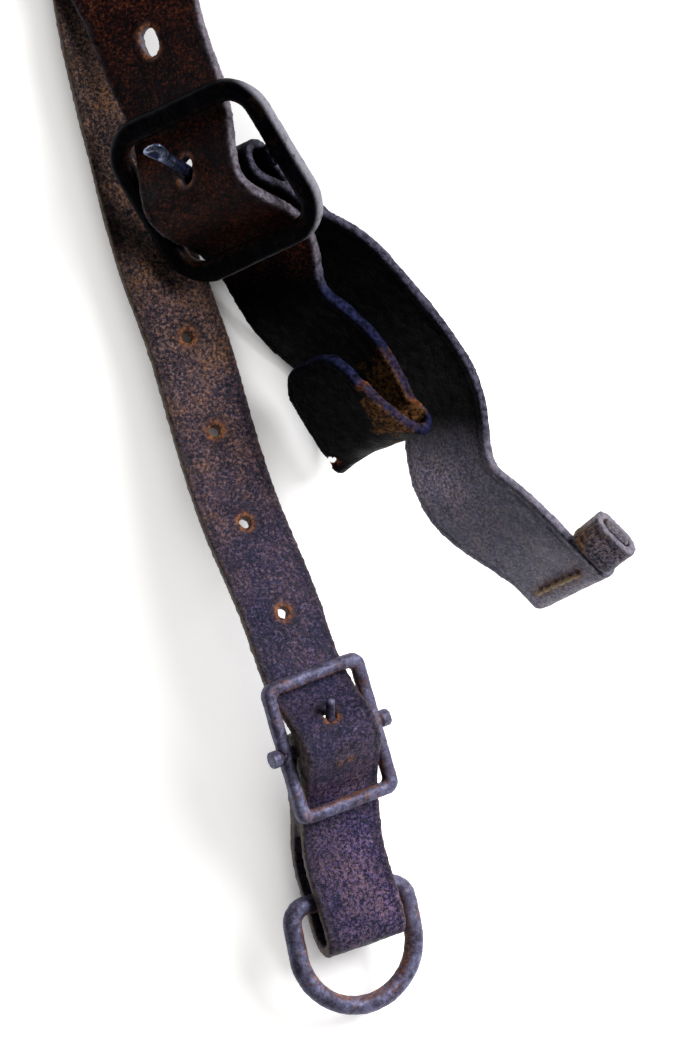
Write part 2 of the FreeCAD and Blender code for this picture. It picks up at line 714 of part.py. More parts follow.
def burrs():
    """Two washers under the lower strap, one on each rivet's shank."""
    parts = []
    for i, place in enumerate(RIVET_PLACES):
        middle = JOIN.multVec(Vector(0, -place, LOWER_JOIN - size("narrow_thickness") / 2 - 0.02))
        disc = doc.addObject("Part::Cylinder", f"burr_disc_{i + 1}")
        bind(disc, Radius="Sheet.rivet_head_radius * 0.9", Height="Sheet.burr_height")
        disc.Placement.Base = middle - Vector(0, 0, size("burr_height"))
        bore = doc.addObject("Part::Cylinder", f"burr_bore_{i + 1}")
        bind(bore, Radius="Sheet.rivet_radius + 0.03", Height="Sheet.burr_height * 3")
        bore.Placement.Base = middle - Vector(0, 0, 2 * size("burr_height"))
        burr = doc.addObject("Part::Cut", f"burr_{i + 1}")
        burr.Base = disc
        burr.Tool = bore
        parts.append(burr)
    return group("join_burrs", parts)


def group(label, parts):
    """Like pieces that share one node, as separate solids."""
    compound = doc.addObject("Part::Compound", label)
    compound.Links = parts
    return compound


# ---------------------------------------------------------------- thread and keeper

def thread_run(start, stop):
    """One stitch on the leather's face: a straight run of thread with round ends."""
    radius = size("thread_radius")
    direction = stop - start
    run = Part.makeCylinder(radius, direction.Length, start, direction)
    return run.fuse([Part.makeSphere(radius, start), Part.makeSphere(radius, stop)]).removeSplitter()


def stitch_row_across(ribbon, place, half_row, count):
    """A row of stitches square across a strap, just off its face."""
    centre, along, across, face = ribbon.frame(place)
    lift = face * (ribbon.thickness / 2 + size("thread_radius") + THREAD_GAP)
    pitch = 2 * half_row / count
    stitches = []
    for i in range(count):
        left, right = [across * (pitch * (i + part) - half_row) for part in STITCH_SPAN]
        stitches.append(thread_run(centre + lift + left, centre + lift + right))
    return stitches


def stitch_row_along(ribbon, place, shift, pitch, count):
    """A row of stitches along a strap, at a distance from its centreline."""
    stitches = []
    for i in range(count):
        ends = []
        for part in STITCH_SPAN:
            centre, along, across, face = ribbon.frame(place + pitch * (i + part))
            lift = face * (ribbon.thickness / 2 + size("thread_radius") + 2 * THREAD_GAP)
            ends.append(centre + lift + across * shift)
        stitches.append(thread_run(*ends))
    return stitches


def thread(label, stitches):
    node = doc.addObject("Part::Feature", label)
    node.Shape = Part.makeCompound(stitches)
    return node


def end_keeper():
    """A flattened loop of leather beside the curled strap's right-hand edge, at its stitched end."""
    outer = doc.addObject("Part::Box", "keeper_outer")
    bind(outer, Length="Sheet.keeper_band", Width="Sheet.keeper_length", Height="Sheet.keeper_depth")
    inner = doc.addObject("Part::Box", "keeper_inner")
    bind(inner, Length="Sheet.keeper_band * 2", Width="Sheet.keeper_length - 2 * Sheet.keeper_wall",
         Height="Sheet.keeper_depth - 2 * Sheet.keeper_wall")
    doc.recompute()
    shells = []
    for box, radius in ((outer, size("keeper_depth") * 0.45), (inner, size("keeper_depth") * 0.2)):
        rounded = doc.addObject("Part::Fillet", box.Name + "_rounded")
        rounded.Base = box
        runs = [i for i, e in enumerate(box.Shape.Edges, start=1) if abs(e.BoundBox.XLength) > 1]
        rounded.Edges = [(i, radius, radius) for i in runs]
        shells.append(rounded)
    outer_half = Vector(outer.Length.Value / 2, outer.Width.Value / 2, outer.Height.Value / 2)
    inner_half = Vector(inner.Length.Value / 2, inner.Width.Value / 2, inner.Height.Value / 2)
    shells[0].Placement.Base = outer_half * -1
    shells[1].Placement.Base = inner_half * -1
    beside = size("curled_width") / 2 + size("keeper_band") / 2 + KEEPER_CLEARANCE
    level = FreeCAD.Rotation(Vector(0, 1, 0), KEEPER_LEAN)
    place = CURL_END.multiply(FreeCAD.Placement(Vector(beside, 4.0, -CURL_TURN), level))
    return cut("end_keeper", shells[0], [shells[1]], place)


# ---------------------------------------------------------------- the whole

def build():
    fill_sheet()
    narrow = narrow_ribbon()
    wide = wide_ribbon()
    curled = curled_ribbon()
    nodes = [
        narrow_strap(narrow),
        wide_strap(wide),
        curled_strap(curled),
        buckle_frame("big_buckle_frame", "big", BIG, "Sheet.pin_radius + 0.02",
                     "Sheet.big_outer_width - Sheet.big_rail"),
        big_buckle_bar(),
        tongue("big_buckle_tongue", "big", BIG_SHAFT_ANGLE, BIG, WIDE_SHIFT),
        buckle_frame("small_buckle_frame", "small", SMALL, "Sheet.small_bar_radius + 0.02",
                     "2 * Sheet.small_outer_width"),
        small_buckle_bar(),
        tongue("small_buckle_tongue", "small", SMALL_SHAFT_ANGLE, SMALL),
        d_ring(),
        rivets(),
        burrs(),
        thread("end_stitches", stitch_row_across(curled, curled.end - 15.5, 9.6, 6)),
        thread("chape_stitches", stitch_row_across(curled, 5.0, 12.0, 7)),
        thread("loop_stitches", [
            stitch for side in (-1, 1)
            for stitch in stitch_row_along(narrow, narrow.nearest(LOOP_SEAM), side * 8.0, 4.2, 3)
        ]),
        end_keeper(),
    ]
    doc.recompute()
    return nodes


def export(nodes):
    """Stops on any failed object, then writes one file for each sub-part."""
    failed = [thing.Name for thing in doc.Objects if set(thing.State) & {"Invalid", "Error"}]
    if failed:
        raise RuntimeError(f"failed objects: {failed}")
    for node in nodes:
        if node.Shape.isNull() or not node.Shape.isValid():
            raise RuntimeError(f"{node.Label} has no valid shape")
    os.makedirs("parts", exist_ok=True)
    for node in nodes:
        node.Shape.exportStep(f"parts/{node.Label}.step")


export(build())
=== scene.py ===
"""Looks for two old buckled harness straps: worn leather, black and patinated iron, waxed thread, copper.

Every strap and fitting is rebuilt from its CAD node, so each piece keeps the frame's place and size.
Units are metres; MM turns millimetres into metres.
"""
import bpy
import bmesh
import json
import math
import numpy as np
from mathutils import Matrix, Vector, noise
from mathutils.bvhtree import BVHTree
from mathutils.kdtree import KDTree


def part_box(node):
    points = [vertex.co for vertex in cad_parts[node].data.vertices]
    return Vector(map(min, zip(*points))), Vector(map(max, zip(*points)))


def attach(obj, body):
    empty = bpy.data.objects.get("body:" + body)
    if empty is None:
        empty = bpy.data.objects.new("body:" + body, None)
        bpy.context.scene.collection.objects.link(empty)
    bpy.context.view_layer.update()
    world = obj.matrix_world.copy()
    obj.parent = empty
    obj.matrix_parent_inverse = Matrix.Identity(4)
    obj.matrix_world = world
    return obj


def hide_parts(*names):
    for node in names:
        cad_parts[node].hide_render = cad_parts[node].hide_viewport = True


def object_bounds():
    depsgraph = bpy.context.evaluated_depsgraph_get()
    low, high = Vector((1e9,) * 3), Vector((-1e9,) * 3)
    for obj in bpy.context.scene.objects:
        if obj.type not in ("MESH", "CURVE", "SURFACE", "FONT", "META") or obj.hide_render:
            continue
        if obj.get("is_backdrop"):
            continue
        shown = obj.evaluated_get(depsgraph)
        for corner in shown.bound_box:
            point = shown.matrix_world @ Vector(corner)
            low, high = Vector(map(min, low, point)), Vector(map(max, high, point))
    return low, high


MM = 0.001
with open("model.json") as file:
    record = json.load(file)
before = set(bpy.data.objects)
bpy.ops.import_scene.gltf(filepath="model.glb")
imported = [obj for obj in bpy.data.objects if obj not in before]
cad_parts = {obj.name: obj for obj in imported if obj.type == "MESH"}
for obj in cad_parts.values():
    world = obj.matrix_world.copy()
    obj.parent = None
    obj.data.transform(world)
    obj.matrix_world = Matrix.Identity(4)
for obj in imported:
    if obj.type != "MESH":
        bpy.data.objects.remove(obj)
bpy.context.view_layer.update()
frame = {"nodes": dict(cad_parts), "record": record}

BODY_OF = {node: body for body, nodes in frame["record"]["behaviour"]["bodies"].items() for node in nodes}
SLOT_OF = {part["node"]: part["material_slot"] for part in frame["record"]["subparts"]}


# ---------------------------------------------------------------- shader helpers

class Shader:
    """A node material built up call by call; links take (node, socket) pairs or plain values."""

    def __init__(self, name):
        self.material = bpy.data.materials.new(name)
        self.material.use_nodes = True
        self.tree = self.material.node_tree
        self.tree.nodes.clear()
        self.output = self.tree.nodes.new("ShaderNodeOutputMaterial")
        self.surface = self.tree.nodes.new("ShaderNodeBsdfPrincipled")
        self.tree.links.new(self.surface.outputs[0], self.output.inputs[0])
        self.place = self.tree.nodes.new("ShaderNodeTexCoord").outputs["Object"]

    def put(self, socket, value):
        """Links a socket to value, or gives it value as its number or colour."""
        if isinstance(value, bpy.types.NodeSocket):
            self.tree.links.new(value, socket)
        else:
            socket.default_value = value

    def set(self, **values):
        """Sets Principled inputs; an underscore in a name stands for a space."""
        for name, value in values.items():
            self.put(self.surface.inputs[name.replace("_", " ")], value)

    def noise(self, per_mm, detail=4.0, roughness=0.55, distortion=0.0):
        """Fractal noise, with per_mm features to the millimetre."""
        node = self.tree.nodes.new("ShaderNodeTexNoise")
        node.inputs["Scale"].default_value = per_mm / MM
        node.inputs["Detail"].default_value = detail
        node.inputs["Roughness"].default_value = roughness
        node.inputs["Distortion"].default_value = distortion
        self.tree.links.new(self.place, node.inputs["Vector"])
        return node.outputs["Fac"]

    def cells(self, per_mm):
        """The distance to the border of a cell, as in leather's grain."""
        node = self.tree.nodes.new("ShaderNodeTexVoronoi")
        node.feature = "DISTANCE_TO_EDGE"
        node.inputs["Scale"].default_value = per_mm / MM
        self.tree.links.new(self.place, node.inputs["Vector"])
        return node.outputs["Distance"]

    def ramp(self, value, *stops):
        """A colour ramp; each stop is (position, colour)."""
        node = self.tree.nodes.new("ShaderNodeValToRGB")
        marks = node.color_ramp.elements
        while len(marks) < len(stops):
            marks.new(0.5)
        for stop, (position, colour) in zip(marks, stops):
            stop.position = position
            stop.color = (*colour, 1.0)
        self.put(node.inputs["Fac"], value)
        return node.outputs["Color"]

    def step(self, value, low, high, bottom=0.0, top=1.0):
        """A smooth rise from bottom to top as the value goes from low to high."""
        node = self.tree.nodes.new("ShaderNodeMapRange")
        node.interpolation_type = "SMOOTHSTEP"
        for name, number in (("From Min", low), ("From Max", high), ("To Min", bottom), ("To Max", top)):
            node.inputs[name].default_value = number
        self.put(node.inputs["Value"], value)
        return node.outputs["Result"]

    def math(self, operation, first, second):
        node = self.tree.nodes.new("ShaderNodeMath")
        node.operation = operation
        self.put(node.inputs[0], first)
        self.put(node.inputs[1], second)
        return node.outputs[0]

    def mix(self, factor, first, second, blend="MIX"):
        """Goes from the first colour to the second as factor rises."""
        node = self.tree.nodes.new("ShaderNodeMix")
        node.data_type = "RGBA"
        node.blend_type = blend
        self.put(node.inputs["Factor"], factor)
        for socket, value in (("A", first), ("B", second)):
            target = next(s for s in node.inputs if s.name == socket and s.type == "RGBA")
            self.put(target, (*value, 1.0) if isinstance(value, tuple) else value)
        return next(s for s in node.outputs if s.type == "RGBA")

    def mark(self, name):
        """A number stored on the mesh's points."""
        node = self.tree.nodes.new("ShaderNodeAttribute")
        node.attribute_name = name
        return node.outputs["Fac"]

    def bump(self, height, distance_mm, strength, under=None):
        """A bumped normal, over the one in under if there is one."""
        node = self.tree.nodes.new("ShaderNodeBump")
        node.inputs["Strength"].default_value = strength
        node.inputs["Distance"].default_value = distance_mm * MM
        self.put(node.inputs["Height"], height)
        if under is not None:
            self.tree.links.new(under, node.inputs["Normal"])
        return node.outputs["Normal"]


COOL_SHINE = (0.60, 0.70, 1.0, 1.0)
MOTTLE_STOPS = (0.38, 0.45, 0.52, 0.62)
PAINTED_GAIN_SPAN = 8.0                         # how much brighter the strongest painted highlight is than the deepest painted shade


def leather_material(name, upper, lower, turn_mm, edges, shine=0.44, gloss=(0.45, 0.45)):
    """Old oiled harness leather: a finely mottled face, a raw or burnished edge, scuffed arrises, and
    painted highlight in lilac, slate or blue on edges facing the light.

    upper and lower are the mottle's four tones (dark, cool, mid, warm) at the strap's two ends, and
    edges and gloss hold one value for each end; the change happens between the two heights in turn_mm.
    The ends' tones hold painted light and shade besides the leather's colour: a lit end is painted pale
    and violet-blue, a shaded end near black."""
    sh = Shader(name)
    split = sh.tree.nodes.new("ShaderNodeSeparateXYZ")
    sh.tree.links.new(sh.place, split.inputs[0])
    reach = 0.6 * (turn_mm[0] - turn_mm[1]) * MM
    wander = sh.math("MULTIPLY", sh.math("SUBTRACT", sh.noise(0.05, 4.0, 0.6), 0.5), reach)
    fall = sh.step(sh.math("ADD", split.outputs["Y"], wander), turn_mm[0] * MM, turn_mm[1] * MM)

    # the face: four tones, broken up finely, with painted highlights and painted shade in listed places,
    # darker near the edges
    drift = sh.math("MULTIPLY", sh.math("SUBTRACT", sh.noise(0.09, 4.0, 0.65, 0.5), 0.5), 0.34)
    hue = sh.math("ADD", sh.noise(1.15, 5.0, 0.85), drift)
    base = sh.mix(fall, sh.ramp(hue, *zip(MOTTLE_STOPS, upper)), sh.ramp(hue, *zip(MOTTLE_STOPS, lower)))
    light = sh.step(sh.noise(1.2, 4.0, 0.8), 0.40, 0.60, 0.12, 1.75)
    # brightness from the painted highlight and painted shade spots stored on the mesh
    painted_gain = sh.math("POWER", PAINTED_GAIN_SPAN, sh.math("SUBTRACT", sh.mark("painted_gain"), 0.5))
    light = sh.math("MULTIPLY", light, painted_gain)
    base = sh.mix(1.0, base, light, "MULTIPLY")
    wear = sh.step(sh.noise(0.13, 7.0, 0.75, 0.7), 0.50, 0.68, 0.0, 0.3)
    base = sh.mix(wear, base, sh.mix(fall, upper[2], lower[1]))
    margin = sh.math("MULTIPLY", sh.mark("margin"), sh.step(sh.noise(0.16, 5.0, 0.7), 0.36, 0.6))
    base = sh.mix(sh.math("MULTIPLY", margin, 0.6), base, sh.mix(fall, upper[0], lower[0]))

    # torn places, cut edges and rubbed arrises; lilac, slate and blue edge tones are painted highlight
    raw = sh.mark("raw")
    fibre = sh.mix(sh.step(sh.noise(0.9, 6.0, 0.8), 0.40, 0.62), (0.010, 0.003, 0.002), (0.36, 0.17, 0.06))
    base = sh.mix(raw, base, fibre)
    # cut edges take the edge tones, painted highlight where these are lilac, slate or blue
    dull = sh.mix(fall, edges[0][0], edges[1][0])
    pale = sh.mix(fall, edges[0][1], edges[1][1])
    edge = sh.mix(sh.step(sh.noise(0.7, 5.0, 0.75), 0.38, 0.62), dull, pale)
    base = sh.mix(sh.math("MULTIPLY", sh.mark("side"), 0.9), base, edge)
    # arrises turn towards the pale edge tone: scuffing, and painted highlight where that tone is lilac,
    # slate or blue
    rub_and_glint = sh.math("MULTIPLY", sh.mark("arris"), sh.step(sh.noise(0.3, 5.0, 0.75), 0.42, 0.60))
    base = sh.mix(sh.math("MULTIPLY", rub_and_glint, 0.5), base, pale)

    # rust round holes and stitches, and darker in creases
    rim = sh.mix(sh.step(sh.noise(0.8, 5.0, 0.7), 0.42, 0.6), (0.05, 0.010, 0.004), (0.52, 0.17, 0.03))
    stained = sh.math("MAXIMUM", sh.mark("hole"), sh.mark("sewn"))
    base = sh.mix(sh.math("MULTIPLY", stained, 0.75), base, rim)
    base = sh.mix(sh.math("MULTIPLY", sh.mark("crease"), 0.75), base, (0.005, 0.0015, 0.001))

    rough = sh.step(sh.noise(0.35, 6.0, 0.75), 0.32, 0.7, shine - 0.08, shine + 0.2)
    rough = sh.math("ADD", rough, sh.math("MULTIPLY", raw, 0.25))
    fine = sh.bump(sh.cells(0.9), 0.12, 0.45)
    fine = sh.bump(light, 0.12, 0.5, fine)
    sh.set(Base_Color=base, Roughness=rough, Normal=sh.bump(sh.noise(0.35, 6.0, 0.68), 0.45, 0.6, fine))
    sh.set(Specular_IOR_Level=sh.step(fall, 0.0, 1.0, *gloss), Specular_Tint=COOL_SHINE)
    return sh.material


def iron_material(name, skin, rust_amount, shine, wear_and_lit_tone, metal, arris=None, outer_wear=0.0, gloss=0.5):
    """Old forged iron: a smooth mottled skin, rust on inward faces, brighter scuffed arrises, and painted
    light and glints where given.

    skin is the mottle's dark, middle and light tones; the scuffed-and-lit tone colours scuffed arrises that
    have no tone of their own and paints light on side flanks facing the lamp, an arris tone when given is a
    painted glint, and marked places on the mesh are darkened: painted shade in the tongue's hollow and a
    darker shank."""
    sh = Shader(name)
    mottle = sh.noise(0.25, 7.0, 0.7, 0.6)
    base = sh.ramp(mottle, (0.38, skin[0]), (0.5, skin[1]), (0.60, skin[2]))
    grit = sh.step(sh.noise(1.3, 4.0, 0.8), 0.36, 0.62, 0.55, 1.3)
    base = sh.mix(1.0, base, grit, "MULTIPLY")
    patchy = sh.step(sh.noise(0.22, 7.0, 0.72, 0.5), 0.52, 0.64)
    inward = sh.math("MULTIPLY", sh.mark("inside"), sh.step(sh.noise(0.5, 6.0, 0.75), 0.36, 0.56))
    rust = sh.math("MULTIPLY", sh.math("MAXIMUM", sh.math("MULTIPLY", patchy, 0.5), inward), rust_amount)
    flake = sh.step(sh.noise(0.9, 6.0, 0.8), 0.4, 0.62)
    base = sh.mix(rust, base, sh.mix(flake, (0.035, 0.010, 0.006), (0.40, 0.16, 0.05)))
    # arrises brighten: scuffed metal, and a painted blue glint on black iron
    arris_wear_and_glint = sh.math("MULTIPLY", sh.mark("arris"), sh.step(sh.noise(0.4, 5.0, 0.75), 0.40, 0.58))
    base = sh.mix(sh.math("MULTIPLY", arris_wear_and_glint, 0.45), base, arris or wear_and_lit_tone)
    # painted light: side flanks facing the lamp take the paler tone, as on the big frame's lit right-hand
    # side
    lit_flank = sh.math("MULTIPLY", sh.mark("outer"), sh.step(sh.noise(0.7, 6.0, 0.8), 0.30, 0.48))
    base = sh.mix(sh.math("MULTIPLY", lit_flank, outer_wear), base, wear_and_lit_tone)
    # darkened places: painted shade in the tongue tip's hollow, and a darker shank
    base = sh.mix(sh.mark("tip_darkening"), base, (0.003, 0.006, 0.035))
    sh.set(Base_Color=base, Metallic=sh.math("MULTIPLY", sh.math("SUBTRACT", 1.0, rust), metal))
    sh.set(Roughness=sh.step(sh.noise(0.8, 5.0, 0.7), 0.3, 0.7, shine, shine + 0.2))
    sh.set(Specular_IOR_Level=gloss, Specular_Tint=(0.62, 0.70, 1.0, 1.0))
    pit = sh.bump(sh.noise(0.9, 6.0, 0.7), 0.22, 0.5)
    sh.set(Normal=sh.bump(sh.noise(0.25, 3.0, 0.5), 0.35, 0.4, pit))
    return sh.material


def thread_material():
    """Waxed linen thread, tan with grime between its fibres."""
    sh = Shader("waxed_thread")
    fibre = sh.noise(4.0, 4.0, 0.7)
    base = sh.mix(fibre, (0.60, 0.33, 0.12), (1.0, 0.88, 0.66))
    base = sh.mix(sh.step(sh.noise(0.9, 4.0, 0.6), 0.52, 0.7, 0.0, 0.7), base, (0.30, 0.07, 0.015))
    sh.set(Base_Color=base, Roughness=0.78, Normal=sh.bump(fibre, 0.08, 0.8))
    return sh.material


def copper_material():
    """Dulled copper with brown tarnish round the heads."""
    sh = Shader("dull_copper")
    tarnish = sh.step(sh.noise(0.5, 6.0, 0.7, 0.4), 0.38, 0.62)
    base = sh.mix(tarnish, (0.36, 0.16, 0.085), (0.055, 0.03, 0.024))
    sh.set(Base_Color=base, Metallic=0.8, Roughness=sh.step(tarnish, 0.0, 1.0, 0.38, 0.66))
    sh.set(Normal=sh.bump(sh.noise(1.1, 5.0, 0.65), 0.15, 0.5))
    return sh.material


# edge tones (dull, pale): lilac, slate and blue are painted highlight on cut edges facing the lamp; tan is
# the leather's own edge
LILAC_LIT_EDGE = ((0.060, 0.052, 0.064), (0.24, 0.21, 0.25))
SLATE_LIT_EDGE = ((0.014, 0.013, 0.020), (0.110, 0.105, 0.150))
BLUE_HIGHLIGHT_EDGE = ((0.003, 0.003, 0.007), (0.022, 0.025, 0.075))
TAN_EDGE = ((0.022, 0.012, 0.008), (0.19, 0.125, 0.080))
# the keeper's tones are paled as painted light on a face the lamp barely reaches
KEEPER_LIT_TONES = ((0.012, 0.006, 0.006), (0.110, 0.095, 0.150), (0.230, 0.180, 0.195), (0.240, 0.130, 0.070))
MATERIALS = {
    # its lower end's violet-blue tones are a painted sheen where the strap leans towards the lamp
    "narrow_strap": leather_material(
        "narrow_leather",
        ((0.003, 0.001, 0.001), (0.060, 0.036, 0.030), (0.140, 0.082, 0.060), (0.270, 0.120, 0.038)),
        ((0.003, 0.002, 0.004), (0.016, 0.011, 0.045), (0.054, 0.034, 0.064), (0.072, 0.040, 0.046)),
        (200, 60), (TAN_EDGE, TAN_EDGE), 0.44, (0.15, 0.35)),
    # its lower end's near-black tones are painted shade on the tail, and its blue edge a painted highlight
    "wide_strap": leather_material(
        "wide_leather",
        ((0.0006, 0.0002, 0.0002), (0.002, 0.0004, 0.0003), (0.024, 0.004, 0.002), (0.110, 0.030, 0.009)),
        ((0.0003, 0.0002, 0.0004), (0.0008, 0.0006, 0.002), (0.001, 0.0008, 0.002), (0.006, 0.003, 0.003)),
        (180, 166), (LILAC_LIT_EDGE, BLUE_HIGHLIGHT_EDGE), 0.42, (0.10, 0.03)),
    # its upper end's near-black tones are painted shade, and its lower end's pale grey-violet painted light
    # on the wave
    "curled_strap": leather_material(
        "curled_leather",
        ((0.0003, 0.0002, 0.0003), (0.0008, 0.0006, 0.0015),
         (0.001, 0.0008, 0.0015), (0.008, 0.003, 0.002)),
        ((0.007, 0.005, 0.012), (0.084, 0.064, 0.150), (0.210, 0.165, 0.205), (0.190, 0.110, 0.098)),
        (137, 121), (SLATE_LIT_EDGE, LILAC_LIT_EDGE), 0.40, (0.04, 0.55)),
    "end_keeper": leather_material(
        "keeper_leather", KEEPER_LIT_TONES, KEEPER_LIT_TONES, (134, 110), (LILAC_LIT_EDGE, LILAC_LIT_EDGE)),
    # black iron: its blue arris tone is a painted glint, and its grey tone paints light on flanks facing
    # the lamp
    "black_iron": iron_material(
        "black_iron", ((0.0004, 0.0004, 0.0007), (0.0008, 0.0008, 0.0014), (0.002, 0.002, 0.0035)),
        rust_amount=0.10, shine=0.30, wear_and_lit_tone=(0.26, 0.25, 0.28), metal=0.0,
        arris=(0.010, 0.014, 0.080), outer_wear=0.85, gloss=0.05),
    "worn_iron": iron_material(
        "worn_iron", ((0.05, 0.06, 0.10), (0.26, 0.30, 0.42), (0.55, 0.62, 0.74)),
        rust_amount=0.12, shine=0.24, wear_and_lit_tone=(0.75, 0.80, 0.92), metal=0.85),
    "patina_iron": iron_material(
        "patina_iron", ((0.050, 0.038, 0.062), (0.110, 0.098, 0.160), (0.170, 0.170, 0.270)),
        rust_amount=0.80, shine=0.42, wear_and_lit_tone=(0.28, 0.28, 0.38), metal=0.25),
    "copper": copper_material(),
    "thread": thread_material(),
}


# ---------------------------------------------------------------- mesh helpers

def mesh_arrays(mesh):
    points = np.empty(len(mesh.vertices) * 3)
    mesh.vertices.foreach_get("co", points)
    return points.reshape(-1, 3)


def edge_array(mesh):
    edges = np.empty(len(mesh.edges) * 2, dtype=np.int64)
    mesh.edges.foreach_get("vertices", edges)
    return edges.reshape(-1, 2)


def point_normals(mesh):
    normals = np.empty(len(mesh.vertices) * 3)
    mesh.vertices.foreach_get("normal", normals)
    return normals.reshape(-1, 3)


def write_points(mesh, points):
    mesh.vertices.foreach_set("co", points.ravel())
    mesh.update()


def smooth(points, edges, rounds):
    """Moves each point halfway to the mean of its neighbours, rounds times over."""
    count = np.zeros(len(points))
    np.add.at(count, edges.ravel(), 1)
    for _ in range(rounds):
        total = np.zeros_like(points)
        np.add.at(total, edges[:, 0], points[edges[:, 1]])
        np.add.at(total, edges[:, 1], points[edges[:, 0]])
        points = points + 0.5 * (total / count[:, None] - points)
    return points


def spread(values, edges, rounds):
    """Softens a number held on each point."""
    return smooth(values[:, None], edges, rounds)[:, 0]


def field(points, wave_mm, seed, octaves=3):
    """Smooth noise from -1 to 1 at each point, with features about wave_mm across."""
    shift = Vector((seed * 13.7, seed * 7.3, seed * 3.1))
    scale = 1 / (wave_mm * MM)
    return np.array([noise.fractal(Vector(p) * scale + shift, 1.0, 2.0, octaves) for p in points])


def near_tree(places):
    """A tree over places, for distances to the nearest; None if there are none."""
    if not len(places):
        return None
    tree = KDTree(len(places))
    for i, place in enumerate(places):
        tree.insert(place, i)
    tree.balance()
    return tree


def closeness(tree, points, reach_mm):
    """1 at a tree's places, falling away smoothly over about reach_mm."""
    if tree is None:
        return np.zeros(len(points))
    away = np.array([tree.find(p)[2] for p in points])
    return np.exp(-(away / (reach_mm * MM)) ** 2)


WELD = 0.01 * MM                        # points closer than this are one
SHARP_DEGREES = 32.0                    # a harder corner than this is an arris
EDGE_STEP = 0.7 * MM                    # how closely arrises are sampled
CUT_EDGE_HALF = 2.2 * MM                # a cut edge is never deeper than this from an arris
WIDEST_HOLE = 14 * MM                   # a cut edge shorter than this is a hole's wall
FAR = 1.0                               # the distance to an arris where there is none


def welded(source):
    """A CAD node's mesh as one bmesh, with its doubled points joined."""
    bm = bmesh.new()
    bm.from_mesh(source.data)
    bmesh.ops.remove_doubles(bm, verts=bm.verts, dist=WELD)
    return bm


class Reference:
    """What a CAD node says about a place: how far the nearest arris is, and whether it's on a cut edge."""

    def __init__(self, source):
        bm = welded(source)
        bm.faces.ensure_lookup_table()
        limit = math.radians(SHARP_DEGREES)
        samples = []
        for edge in bm.edges:
            if len(edge.link_faces) != 2 or edge.calc_face_angle(0.0) <= limit:
                continue
            a, b = (v.co for v in edge.verts)
            steps = max(1, int((b - a).length / EDGE_STEP))
            samples += [a.lerp(b, i / steps) for i in range(steps + 1)]
        self.arrises = near_tree(samples)
        self.patch = self.patches(bm, limit)
        self.faces = BVHTree.FromBMesh(bm)
        self.side_patch = self.thin_patches(bm)
        self.walls = self.hole_walls(bm)
        bm.free()

    def to_arris(self, place):
        return self.arrises.find(place)[2] if self.arrises else FAR

    @staticmethod
    def patches(bm, limit):
        """Numbers the smooth stretches of surface between sharp edges."""
        patch = [-1] * len(bm.faces)
        number = 0
        for seed in bm.faces:
            if patch[seed.index] >= 0:
                continue
            stack = [seed]
            patch[seed.index] = number
            while stack:
                face = stack.pop()
                for edge in face.edges:
                    if edge.calc_face_angle(0.0) > limit:
                        continue
                    for other in edge.link_faces:
                        if patch[other.index] < 0:
                            patch[other.index] = number
                            stack.append(other)
            number += 1
        return patch

    def thin_patches(self, bm):
        """The patches that are close to an arris all over: cut edges and hole walls."""
        deepest = {}
        for face in bm.faces:
            away = self.to_arris(face.calc_center_median())
            number = self.patch[face.index]
            deepest[number] = max(deepest.get(number, 0.0), away)
        return {number for number, away in deepest.items() if away < CUT_EDGE_HALF}

    def hole_walls(self, bm):
        """The places of cut edges too short to be a strap's own: the walls of punched holes."""
        corners = {}
        for face in bm.faces:
            number = self.patch[face.index]
            if number in self.side_patch:
                corners.setdefault(number, []).extend(tuple(v.co) for v in face.verts)
        places = []
        for cloud in corners.values():
            cloud = np.array(cloud)
            if np.linalg.norm(cloud.max(0) - cloud.min(0)) < WIDEST_HOLE:
                places.extend(cloud)
        return near_tree(places)

    def look(self, points):
        """For each point: distance to an arris, and 1 where the nearest face is a cut edge."""
        away = np.array([self.to_arris(Vector(p)) for p in points])
        nearest = (self.faces.find_nearest(Vector(p))[2] for p in points)
        side = np.array([float(self.patch[face] in self.side_patch) for face in nearest])
        return away, side


def skin_over(piece, voxel_mm):
    """Rebuilds a piece's mesh as an even skin of small quads."""
    modifier = piece.modifiers.new("skin", "REMESH")
    modifier.mode = "VOXEL"
    modifier.voxel_size = voxel_mm * MM
    modifier.adaptivity = 0.0
    graph = bpy.context.evaluated_depsgraph_get()
    skin = bpy.data.meshes.new_from_object(piece.evaluated_get(graph))
    piece.modifiers.clear()
    piece.data = skin
    skin.name = piece.name


def new_piece(name, mesh):
    """A new object in the scene, at the origin, without materials."""
    piece = bpy.data.objects.new(name, mesh)
    bpy.context.scene.collection.objects.link(piece)
    mesh.materials.clear()
    return piece


def remeshed(node, name, voxel_mm):
    """A copy of a CAD node with an even skin."""
    piece = new_piece(name, frame["nodes"][node].data.copy())
    skin_over(piece, voxel_mm)
    return piece


def mark(mesh, name, values):
    """Stores a number from 0 to 1 on each of the mesh's points, for its material."""
    layer = mesh.attributes.new(name, "FLOAT", "POINT")
    layer.data.foreach_set("value", np.clip(values, 0.0, 1.0).astype(np.float32))


def push_out(mesh, points, height_mm):
    """Moves each point along its normal by its height; returns the moved points."""
    write_points(mesh, points)
    points = points + point_normals(mesh) * (height_mm[:, None] * MM)
    write_points(mesh, points)
    return points


def dress(piece, node):
    """Shading, material, slot and body of a CAD node."""
    for polygon in piece.data.polygons:
        polygon.use_smooth = True
    piece.data.materials.append(MATERIALS.get(node) or MATERIALS[SLOT_OF[node]])
    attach(piece, BODY_OF[node])


def finish_piece(piece, node):
    """A dressed piece that stands for its CAD node."""
    dress(piece, node)
    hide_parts(node)


# ---------------------------------------------------------------- leather pieces

SOFTENING = 3                           # rounds of smoothing that round off the arrises
STITCHED = {"narrow_strap": ["loop_stitches"], "curled_strap": ["end_stitches", "chape_stitches"]}

